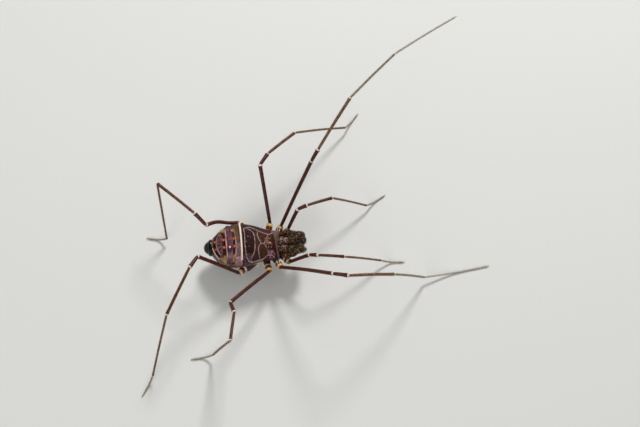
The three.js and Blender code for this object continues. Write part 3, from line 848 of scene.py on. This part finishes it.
MOUTH_HAIR = {"radius": 0.012, "lean": 0.6, "bare_ends": 0.15}
KNOB_RADIUS = 0.1
KNOB_SPACING = 0.12
KNOB_RINGS = [(-0.5, 1.0, 1.0), (0.0, 1.0, 1.0), (0.3, 0.82, 0.82), (0.48, 0.48, 0.48), (0.54, 0.16, 0.16)]
# A pale net of painted highlight lies on the swelling of each stem, for the light caught along its ridges,
# and it is fainter on the right, where less light falls
STEM_GLINT_NETS = {"left": 0.95, "right": 0.45}
WET = [("ShaderNodeTexNoise", 0.22, 0.02), ("ShaderNodeTexVoronoi", 0.07, 0.004)]

# The pale golden flecks are partly the cuticle's own mottling and partly painted highlights
mouth_paint = painted(
    "080300", (grain(0.6).mask(0.58, 0.42), "351c06"), (grain(0.28).mask(0.68, 0.54) * 0.7, "6a4517"),
    (grain(0.11).mask(0.66, 0.58) * 0.7, "b0905a"))
palp_femur_paint = painted(
    "2c0b04", (grain(0.45).mask(0.6, 0.44), "54230d"), (grain(0.25).mask(0.58, 0.5) * 0.7, "8a5a34"))
# Dark knobs, some of them pale: the pale ones are painted highlights
knob_glint_paint = painted(
    "0c0502", (grain(0.5).mask(0.6, 0.5), "4a2f10"), (grain(0.24, detail=1.0).mask(0.68, 0.64), "d3b98f"))
mouth_cuticle = cuticle("mouth_cuticle", mouth_paint, (0.1, 0.2), WET, shine=0.2)
palp_femur_cuticle = cuticle("palp_femur_cuticle", palp_femur_paint, (0.2, 0.32), WET, shine=0.18)
knob_glint_cuticle = cuticle("knob_glint_cuticle", knob_glint_paint, (0.08, 0.2), POLISHED, shine=0.25)
knob_shape = taken_shape(rod("knob", KNOB_RINGS, 10))
stem_cuticles = {}
for side_word, share in STEM_GLINT_NETS.items():
    # The net is painted highlight along the swelling's ridges
    glint_net = grain(0.36).between(0.48, 0.52, 0.02) * share
    stem_paint = painted("190a06", (grain(0.4).mask(0.6, 0.42), "442014"), (glint_net, "c49a90"))
    stem_cuticles[side_word] = cuticle(f"stem_cuticle_{side_word}", stem_paint, (0.14, 0.26), WET, shine=0.22)


def apply_modifier(piece, kind, **settings):
    modifier = piece.modifiers.new(kind, kind)
    for name, value in settings.items():
        setattr(modifier, name, value)
    bpy.context.view_layer.objects.active = piece
    bpy.ops.object.modifier_apply(modifier=modifier.name)


def round_off(piece, levels=1):
    apply_modifier(piece, "SUBSURF", levels=levels, render_levels=levels)


def curve_path(points, twist):
    """A smooth path through the points: the first and last handle lie on their neighbours' line."""
    bpy.ops.object.select_all(action="DESELECT")
    bpy.ops.curve.primitive_bezier_curve_add(location=(0, 0, 0))
    path = bpy.context.object
    spline = path.data.splines[0]
    path.data.resolution_u = 16
    path.data.twist_mode = twist
    if len(points) > 2:
        spline.bezier_points.add(len(points) - 2)
    for knot, point in zip(spline.bezier_points, points):
        knot.co = point
        knot.handle_left_type = knot.handle_right_type = "AUTO"
    return path


def bend(piece, points, twist="Z_UP"):
    """Lays a straight rod along the path through the points, its width level."""
    path = curve_path(points, twist)
    apply_modifier(piece, "CURVE", object=path, deform_axis="POS_Z")
    bpy.data.objects.remove(path)


def mouth_rod(name, shape, way, material, *nodes):
    """A finished piece of a mouthpart with its hairs, bent along its path on one side."""
    piece = rod(name, shape["rings"], MOUTHPART_SIDES, shape.get("keel", 1.0))
    round_off(piece)
    points = [at(x, way * y, z) for x, y, z in shape["path"]]
    twist = shape.get("twist", "MINIMUM")
    bend(piece, points, twist)
    fit(piece, material, "black_cuticle", *nodes)
    if shape.get("hairs"):
        rows, spacing, long = shape["hairs"]
        rings, length = shape["rings"], shape["rings"][-1][0]
        places, outward, roots = rows_on(
            rings, length, rows, spacing, MOUTH_HAIR["lean"], seed=rows, ends=MOUTH_HAIR["bare_ends"])
        widths = np.full(len(places), MOUTH_HAIR["radius"])
        lengths = varied(len(places), 0.5 * long, long, seed=len(places))
        tuft = copies(f"hairs_{name}", hair_shape, places, outward, widths, lengths, roots)
        bend(tuft, points, twist)
        fit(tuft, hair_cuticle, "metatarsus_cuticle")
    return piece


def knobbed(piece, name, seed):
    """Sets glossy rounded knobs of all sizes, most of them small, over a finished piece, some of them pale
    with painted highlights.
    """
    spots, facing = scattered(piece, KNOB_SPACING, seed)
    widths = varied(len(spots), 0.45, 1.0, seed) ** 3 * KNOB_RADIUS
    fit(copies(name, knob_shape, spots, facing, widths, widths), knob_glint_cuticle, "black_cuticle")


for side_word, way in SIDES.items():
    for part, shape in CHELICERA.items():
        replaced = [f"chelicera_{side_word}"] if part == "hand" else []
        material = stem_cuticles[side_word] if part == "stem" else mouth_cuticle
        piece = mouth_rod(f"chelicera_{part}_{side_word}", shape, way, material, *replaced)
        if part in ("stem", "hand"):
            knobbed(piece, f"knobs_{part}_{side_word}", seed=len(part) + way)

# Pedipalps
# The second limbs, short and folded close round the jaws like a shield. The femur is a high
# keeled plate, the tibia a broad flat spoon, and the foot a blunt peg with one strong claw. All
# are of the jaws' cuticle, redder on the femur.

# Each piece's path in mm, with y away from the body's middle
PALPS = {
    "left": {
        "coxa": [(1.3, 0.55, 2.75), (2.2, 0.74, 3.0), (3.6, 0.74, 2.95)],
        "trochanter": [(1.7, 1.1, 3.3), (2.05, 1.25, 3.45), (2.45, 1.42, 3.64)],
        "femur": [(2.15, 1.3, 3.55), (2.85, 1.56, 3.92), (3.52, 1.54, 4.1)],
        "patella": [(3.15, 1.42, 4.05), (3.5, 1.3, 4.26), (4.0, 1.14, 4.34)],
        "tibia": [(3.62, 1.14, 4.24), (4.35, 0.99, 4.38), (5.06, 0.9, 3.98)],
        "tarsus": [(4.78, 0.84, 4.0), (4.86, 0.62, 3.4), (4.7, 0.42, 2.65)],
        "claw": [(4.7, 0.42, 2.75), (4.7, 0.38, 2.5), (4.56, 0.32, 2.3)],
    },
    "right": {
        "coxa": [(1.3, 0.52, 2.75), (2.2, 0.62, 3.0), (3.7, 0.6, 2.95)],
        "trochanter": [(1.7, 0.82, 3.3), (2.1, 0.9, 3.45), (2.5, 1.0, 3.62)],
        "femur": [(2.2, 0.96, 3.5), (2.9, 1.27, 3.88), (3.66, 1.32, 4.05)],
        "patella": [(3.3, 1.28, 4.0), (3.75, 1.12, 4.18), (4.15, 0.84, 4.24)],
        "tibia": [(3.7, 0.92, 4.16), (4.45, 0.6, 4.32), (5.18, 0.38, 3.88)],
        "tarsus": [(4.88, 0.42, 3.92), (4.98, 0.34, 3.35), (4.8, 0.3, 2.65)],
        "claw": [(4.8, 0.3, 2.75), (4.8, 0.28, 2.5), (4.66, 0.26, 2.3)],
    },
}
# Each piece's rings: how far along its path, half width and half depth, in mm
PALP_RINGS = {
    "coxa": [(0.0, 0.3, 0.3), (0.4, 0.6, 0.42), (1.2, 0.76, 0.46), (1.9, 0.74, 0.42), (2.2, 0.55, 0.32),
             (2.4, 0.3, 0.2)],
    "trochanter": [(0.0, 0.24, 0.24), (0.15, 0.34, 0.34), (0.45, 0.37, 0.37), (0.65, 0.32, 0.32),
                   (0.78, 0.2, 0.2)],
    "femur": [(0.0, 0.24, 0.26), (0.18, 0.34, 0.42), (0.6, 0.4, 0.5), (1.0, 0.4, 0.46), (1.25, 0.34, 0.34),
              (1.42, 0.2, 0.18)],
    "patella": [(0.0, 0.3, 0.24), (0.15, 0.4, 0.33), (0.45, 0.45, 0.36), (0.75, 0.45, 0.34),
                (0.92, 0.32, 0.24)],
    "tibia": [(0.0, 0.4, 0.22), (0.14, 0.48, 0.29), (0.45, 0.56, 0.34), (0.85, 0.64, 0.36), (1.2, 0.66, 0.34),
              (1.44, 0.52, 0.24), (1.52, 0.3, 0.14)],
    "tarsus": [(0.0, 0.36, 0.22), (0.2, 0.42, 0.28), (0.6, 0.37, 0.26), (1.0, 0.27, 0.22), (1.35, 0.14, 0.13),
               (1.45, 0.06, 0.06)],
    "claw": [(0.0, 0.07, 0.07), (0.2, 0.055, 0.055), (0.4, 0.035, 0.035), (0.55, 0.01, 0.01)],
}
# The right palp is folded tighter, and shows more of its edge
PALP_WIDTHS = {"left": 1.0, "right": 0.84}
PALP_HAIRS = {"femur": (10, 0.22, 0.16), "patella": (10, 0.2, 0.16), "tibia": (12, 0.18, 0.22),
              "tarsus": (10, 0.16, 0.26)}
PALP_KEEL = 1.5
for side_word, way in SIDES.items():
    for part, path in PALPS[side_word].items():
        rings = [(z, wide * PALP_WIDTHS[side_word], deep) for z, wide, deep in PALP_RINGS[part]]
        shape = {"path": path, "rings": rings, "hairs": PALP_HAIRS.get(part)}
        keeled = part in ("femur", "patella", "tibia")
        if keeled:
            shape.update(keel=PALP_KEEL, twist="Z_UP")
        material = palp_femur_cuticle if part in ("trochanter", "femur") else mouth_cuticle
        replaced = [f"pedipalp_{side_word}"] if part == "tibia" else []
        piece = mouth_rod(f"palp_{part}_{side_word}", shape, way, material, *replaced)
        if keeled:
            knobbed(piece, f"knobs_palp_{part}_{side_word}", seed=len(part) + 3 * way + 20)

# Leg joints
# Each leg is six tubes of cuticle on one line of joints, which hold it stiffly in its stance. A
# joint lies in the middle of the gap where two solids meet, and the toe at the last one's tip.
PARTS = ("coxa", "femur", "patella", "tibia", "metatarsus", "tarsus")
# How far apart corners that face each other over a gap are at most, and how long a tip is, in mm
FACING = 0.32
TIP = 0.1
# How thick each tube is in life, as its radius near the body and at its far end
TUBES = {
    "femur": (0.21, 0.235), "patella": (0.215, 0.24), "tibia": (0.175, 0.19),
    "metatarsus": (0.135, 0.12), "tarsus": (0.105, 0.078),
}
# A foot on the floor lies a little more than its radius above it
TOE_HEIGHT = 1.2 * TUBES["tarsus"][1]


def corners_of(name):
    """The separate corners of a solid, in metres."""
    return np.unique(places_of(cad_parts[name].data.vertices).round(7), axis=0)


def meeting_point(first, second):
    """The middle of the gap between two solids, from the corners that face each other."""
    one, other = corners_of(first), corners_of(second)
    apart = np.linalg.norm(one[:, None] - other[None], axis=2) < FACING * MM
    return Vector((one[apart.any(1)].mean(0) + other[apart.any(0)].mean(0)) / 2)


def leg_joints(leg):
    nodes = [f"leg_{leg}_{part}" for part in PARTS]
    joints = [meeting_point(a, b) for a, b in zip(nodes, nodes[1:])]
    foot = corners_of(nodes[-1])
    reach = np.linalg.norm(foot - np.array(joints[-1]), axis=1)
    toe = Vector(foot[reach > reach.max() - TIP * MM].mean(0))
    if toe.z < MM:
        toe.z = TOE_HEIGHT * MM
    return joints + [toe]


LEGS = [f"{side_word}_{number}" for side_word in SIDES for number in (1, 2, 3, 4)]
joints_of = {leg: leg_joints(leg) for leg in LEGS}
# Three trochanters reach further along their leg than in the solids, by this many mm, and the
# left hind femur is bent like an S
STRETCHES = {"left_1": 0.42, "right_1": 0.42, "left_4": 0.42}
S_BEND = 0.24
for leg, stretch in STRETCHES.items():
    hip, knee = joints_of[leg][:2]
    joints_of[leg][0] = hip + (knee - hip).normalized() * stretch * MM
joints_of["left_4"][1].y -= S_BEND * MM

# Coxae and trochanters
# The coxae are stout granular limb bases, fused side by side to the belly. At the end of each
# turns a short trochanter: a bead banded in white, red-brown and cream.
COXA_ROOTS = {1: (1.75, 0.42, 2.55), 2: (1.0, 0.42, 2.45), 3: (0.25, 0.42, 2.35), 4: (-0.5, 0.75, 2.35)}
COXA_RADII = {1: 0.38, 2: 0.42, 3: 0.46, 4: 0.7}
COXA_DROOP = 0.1
# Rings of the coxa, as shares of its length and of its full radius, and of the bead behind it, in
# mm past the waist and as shares of its radius
COXA_RINGS = [(0, 0.7), (0.2, 0.95), (0.5, 1.0), (0.8, 0.94), (0.95, 0.78)]
BEAD_RINGS = [(0.08, 0.9), (0.24, 1.0), (0.46, 0.98), (0.54, 0.88), (0.62, 0.95), (0.74, 0.92)]
TROCHANTER = {"length": 0.86, "waist": 0.29, "bead": 0.42, "end": 0.34, "cap": 0.06, "tip": 0.231}
# The cream, red-brown and white of each bead, and how far from its end the first two reach, in mm
TROCHANTER_BANDS = {
    1: ("eccb84", "6b3d1c", "f6ece4", 0.26, 0.6), 2: ("e6bf84", "6e4a1c", "c8a6b8", 0.3, 0.68),
    3: ("eed07a", "a3431d", "f6e8e0", 0.34, 0.72), 4: ("ecd4b4", "8f2f1a", "faf4ee", 0.34, 0.72),
}
BEADED = [("ShaderNodeTexVoronoi", 0.1, 0.016), ("ShaderNodeTexNoise", 0.035, 0.006)]


def coxa_paint(cream, ruddy, white, cream_end, ruddy_end):
    """Stout brown cuticle, with the bead's bands from its far end: cream, red-brown and white."""
    far = measured["far"].ragged(0.15, 0.12)
    stain = grain(0.2).mask(0.64, 0.44)
    speck = grain(0.12).mask(0.66, 0.54) * 0.5
    return painted(
        painted("2a110b", (grain(0.5).mask(0.6, 0.42), "452016"), (speck, "7a5040")),
        (far.mask(0.94, 1.02), white),
        (far.mask(ruddy_end, ruddy_end + 0.06), painted(ruddy, (stain, "5f1405"), (speck, "2e0b04"))),
        (far.between(cream_end, cream_end + 0.07, 0.03), "3a1206"),
        (far.mask(cream_end, cream_end + 0.05), painted(cream, (stain * 0.5, "bf8f4c"), (speck, "8c5c2c"))),
        (far.mask(0.05, 0.1) * 0.8, "6b3a1c"),
    )


coxa_cuticles = {
    number: cuticle(f"coxa_{number}_cuticle", coxa_paint(*bands), (0.28, 0.45), BEADED, shine=0.3)
    for number, bands in TROCHANTER_BANDS.items()}


def path_length(points):
    path = curve_path(points, "Z_UP")
    bpy.context.view_layer.update()
    length = path.data.splines[0].calc_length() / MM
    bpy.data.objects.remove(path)
    return length


def note_lengths(piece, length):
    """Keeps on each vertex how far it lies from the near and from the far end of its rod, in mm."""
    near = places_of(piece.data.vertices)[:, 2] / MM
    piece.data.attributes.new("near", "FLOAT", "POINT").data.foreach_set("value", near)
    piece.data.attributes.new("far", "FLOAT", "POINT").data.foreach_set("value", length - near)


for leg in LEGS:
    side_word, number = leg.split("_")
    way, number = SIDES[side_word], int(number)
    x, y, z = COXA_ROOTS[number]
    root, hip = at(x, way * y, z), joints_of[leg][0]
    elbow = root.lerp(hip, 0.6) - Vector((0, 0, COXA_DROOP * MM))
    length = path_length([root, elbow, hip])
    waist = length - TROCHANTER["length"]
    rings = [(waist * share, COXA_RADII[number] * swell) for share, swell in COXA_RINGS]
    rings += [(waist, TROCHANTER["waist"])]
    rings += [(waist + past, TROCHANTER["bead"] * swell) for past, swell in BEAD_RINGS]
    rings += [(length, TROCHANTER["end"]), (length + TROCHANTER["cap"], TROCHANTER["tip"])]
    coxa = rod(f"coxa_{leg}", [(z, radius, radius) for z, radius in rings], 16)
    round_off(coxa, 2)
    note_lengths(coxa, length)
    bend(coxa, [root, elbow, hip])
    fit(coxa, coxa_cuticles[number], "coxa_cuticle", f"leg_{leg}_coxa")
    far = np.empty(len(coxa.data.vertices))
    coxa.data.attributes["far"].data.foreach_get("value", far)
    granulated(f"granules_coxa_{leg}", granule_shape, coxa, 0.17, (30 + number, 40 + number),
               far > TROCHANTER["length"] + 0.1, (0.025, 0.045), granule_cuticle, "coxa_cuticle")

# Legs
# Thin stiff tubes of cuticle, bowed a little. Each swells at its far end, where the next one is
# hinged, with a narrow ring of white skin behind it. The foot is a string of short articles.
LEG_SIDES = 12
ARTICLES = {"1": 6, "2": 16, "3": 7, "4": 7}
BOW = 0.02
# A tube's dark and light ground, its flecks, its ring of skin and that ring's width, and the size
# of its mottling, in mm
LEG_COLOURS = {
    "femur": ("370f07", "571f10", "7c3f2a", "f0dccb", 0.07, 0.3),
    "patella": ("3c130c", "5c281f", "845244", "f2dece", 0.07, 0.3),
    "tibia": ("40190d", "64351f", "a0714f", "f0dcc8", 0.06, 0.3),
    "metatarsus": ("5a3a24", "7f5c40", "bfa27d", "e9dac6", 0.04, 0.2),
    "tarsus": ("8c8069", "aca087", "cdc5ae", "e2dccd", 0.03, 0.16),
    # The second legs are feelers, and are paler in their outer parts
    "feeler_tibia": ("59371f", "80593f", "c9a58a", "f0dcc8", 0.06, 0.3),
    "feeler_metatarsus": ("7b6f5a", "968c76", "cdc4b0", "e9dac6", 0.04, 0.2),
    "feeler_tarsus": ("a39d8e", "bdb8aa", "d9d5ca", "e6e2d8", 0.03, 0.16),
}
# Denticles stand in rows along the tubes, and fine hairs along their outer parts: how many rows,
# their spacing, and each one's half width and length, in mm
DENTICLE_ROWS = {
    "femur": (8, 0.3, 0.032, 0.032), "patella": (8, 0.24, 0.034, 0.034),
    "tibia": (8, 0.26, 0.03, 0.032), "metatarsus": (6, 0.3, 0.022, 0.026),
}
HAIR_ROWS = {
    "tibia": (5, 0.42, 0.01, 0.16), "metatarsus": (8, 0.24, 0.009, 0.18), "tarsus": (10, 0.13, 0.008, 0.14),
}
DENTICLE_TONES = {
    "femur": ("3a1409", "6a3421"), "patella": ("401a12", "744636"),
    "tibia": ("553020", "a3785a"), "metatarsus": ("7c5e46", "c4ab8b"),
}
DENTICLE_LEAN = 0.2
# How near to the floor a hair may lie, in mm
FLOOR_GAP = 0.02


def leg_paint(dark, light, fleck, ring, ring_width, mottling):
    near, far = measured["near"], measured["far"]
    return painted(
        dark, (grain(mottling).mask(0.6, 0.42) * 0.8, light),
        (grain(0.12, detail=1.0).mask(0.66, 0.54) * 0.5, fleck),
        (far.mask(0.14, 0.3) * 0.5, dark),
        (far.ragged(0.1, 0.1).between(0.0, ring_width + 0.05, 0.04) * 0.85, ring),
        (near.ragged(0.1, 0.1).mask(0.05, 0.1) * 0.8, ring),
    )


leg_cuticles = {part: cuticle(f"{part}_cuticle", leg_paint(*colours), (0.3, 0.46), SATIN, shine=0.25)
                for part, colours in LEG_COLOURS.items()}
denticle_cuticles = {
    part: cuticle(f"{part}_denticle_cuticle", two_toned(*tones), (0.25, 0.4), SATIN, shine=0.3)
    for part, tones in DENTICLE_TONES.items()}


def tube_rings(length, near, far):
    """A plain tube with a rounded near end and a knob at its far end."""
    rings = [(-0.08, 0.5 * near), (-0.02, 0.82 * near), (0.1, 0.95 * near)]
    steps = max(2, round(length / 0.7))
    for i in range(1, steps):
        share = i / steps
        rings.append((0.1 + (length - 0.6) * share, near + (far - near) * share))
    rings += [(length - 0.42, far), (length - 0.25, 1.1 * far), (length - 0.1, 1.15 * far),
              (length + 0.02, 1.0 * far), (length + 0.1, 0.6 * far)]
    return [(z, r, r) for z, r in rings]


def article_rings(length, near, far, count):
    """A string of short articles, each waisted where it joins the next."""
    rings = [(-0.05, 0.5 * near, 0.5 * near)]
    step = length / count
    for i in range(count):
        for share, swell in ((0.06, 0.84), (0.3, 0.98), (0.8, 1.06), (0.94, 0.98)):
            radius = (near + (far - near) * (i + share) / count) * swell
            rings.append(((i + share) * step, radius, radius))
    rings.append((length + 0.02, 0.5 * far, 0.5 * far))
    return rings


def segment_path(part, start, end, leg):
    """The line of a segment: a slight upward bow, or for a foot on the floor a curve onto it."""
    if part == "tarsus" and end.z < MM:
        heel = start.lerp(end, 0.45)
        heel.z = end.z + 0.12 * (start.z - end.z)
        return [start, heel, end]
    crown = start.lerp(end, 0.5)
    crown.z += BOW * (end - start).length
    if (part, leg) == ("femur", "left_4"):
        return [start, start.lerp(crown, 0.5), crown.lerp(end, 0.4) + Vector((0, S_BEND * MM, 0)), end]
    return [start, crown, end]


def pressed(piece):
    """Hairs under a foot are bent flat by the floor."""
    places = places_of(piece.data.vertices)
    height = places[:, 2] / MM
    flat = FLOOR_GAP + 0.1 * (height - FLOOR_GAP)
    places[:, 2] = np.where(height < FLOOR_GAP, flat, height) * MM
    piece.data.vertices.foreach_set("co", places.ravel())


def joined(name, pieces):
    bpy.ops.object.select_all(action="DESELECT")
    for piece in pieces:
        piece.select_set(True)
    bpy.context.view_layer.objects.active = pieces[0]
    bpy.ops.object.join()
    pieces[0].name = pieces[0].data.name = name
    return pieces[0]


for leg in LEGS:
    joints = joints_of[leg]
    denticles, hairs = [], []
    for index, (part, start, end) in enumerate(zip(PARTS[1:], joints, joints[1:])):
        points = segment_path(part, start, end, leg)
        length = path_length(points)
        near, far = TUBES[part]
        if part == "tarsus":
            rings = article_rings(length, near, far, ARTICLES[leg[-1]])
        else:
            rings = tube_rings(length, near, far)
        segment = rod(f"{part}_{leg}", rings, LEG_SIDES)
        round_off(segment)
        note_lengths(segment, length)
        bend(segment, points)
        feeler = leg[-1] == "2" and f"feeler_{part}" in leg_cuticles
        material = leg_cuticles[f"feeler_{part}" if feeler else part]
        fit(segment, material, f"{part}_cuticle", f"leg_{leg}_{part}")
        if part in DENTICLE_ROWS:
            rows, spacing, wide, long = DENTICLE_ROWS[part]
            places, outward, _ = rows_on(rings, length, rows, spacing, DENTICLE_LEAN, seed=50 + index)
            widths = varied(len(places), 0.6 * wide, wide, seed=index)
            row = copies(f"denticles_{part}", denticle_shape, places, outward, widths, widths * long / wide)
            bend(row, points)
            row.data.materials.append(denticle_cuticles[part])
            denticles.append(row)
        if part in HAIR_ROWS:
            rows, spacing, wide, long = HAIR_ROWS[part]
            places, outward, unwrap = rows_on(rings, length, rows, spacing, HAIR_LEAN, seed=60 + index)
            roots = (unwrap + [index, 0]) / [len(PARTS), 1]
            widths = np.full(len(places), wide)
            lengths = varied(len(places), 0.6 * long, long, seed=index)
            tuft = copies(f"hairs_{part}", hair_shape, places, outward, widths, lengths, roots)
            bend(tuft, points)
            pressed(tuft)
            tuft.data.materials.append(hair_cuticle)
            hairs.append(tuft)
    fit(joined(f"denticles_{leg}", denticles), None, "tibia_cuticle")
    fit(joined(f"hairs_{leg}", hairs), None, "metatarsus_cuticle")

# Claws
# The first two pairs of feet end in one smooth curved claw, the last two in a spread pair. Each is
# a solid hook of polished brown cuticle, set into the tip of the last article.
CLAW_RINGS = [(-0.08, 0.034, 0.034), (0.0, 0.042, 0.046), (0.1, 0.034, 0.04), (0.2, 0.02, 0.024),
              (0.3, 0.005, 0.006)]
# A claw's path from the toe, as how far ahead and how high in mm
CLAW_PATH = [(-0.04, 0.0), (0.13, 0.03), (0.27, -0.06)]
CLAW_SPREAD = radians(24)
claw_cuticle = cuticle("claw_cuticle", two_toned("2c170a", "6b4420"), (0.15, 0.25), POLISHED, shine=0.4)
for leg in LEGS:
    ankle, toe = joints_of[leg][-2:]
    along = (toe - ankle).normalized()
    if toe.z < MM:
        along = Vector((along.x, along.y, 0)).normalized()
    turns = (0,) if leg[-1] in "12" else (-CLAW_SPREAD, CLAW_SPREAD)
    for letter, turn in zip("ab", turns):
        ahead = Matrix.Rotation(turn, 3, "Z") @ along
        claw = rod(f"claw_{leg}_{letter}", CLAW_RINGS, 8)
        round_off(claw)
        bend(claw, [toe + ahead * out * MM + Vector((0, 0, up * MM)) for out, up in CLAW_PATH])
        fit(claw, claw_cuticle, "tarsus_cuticle")
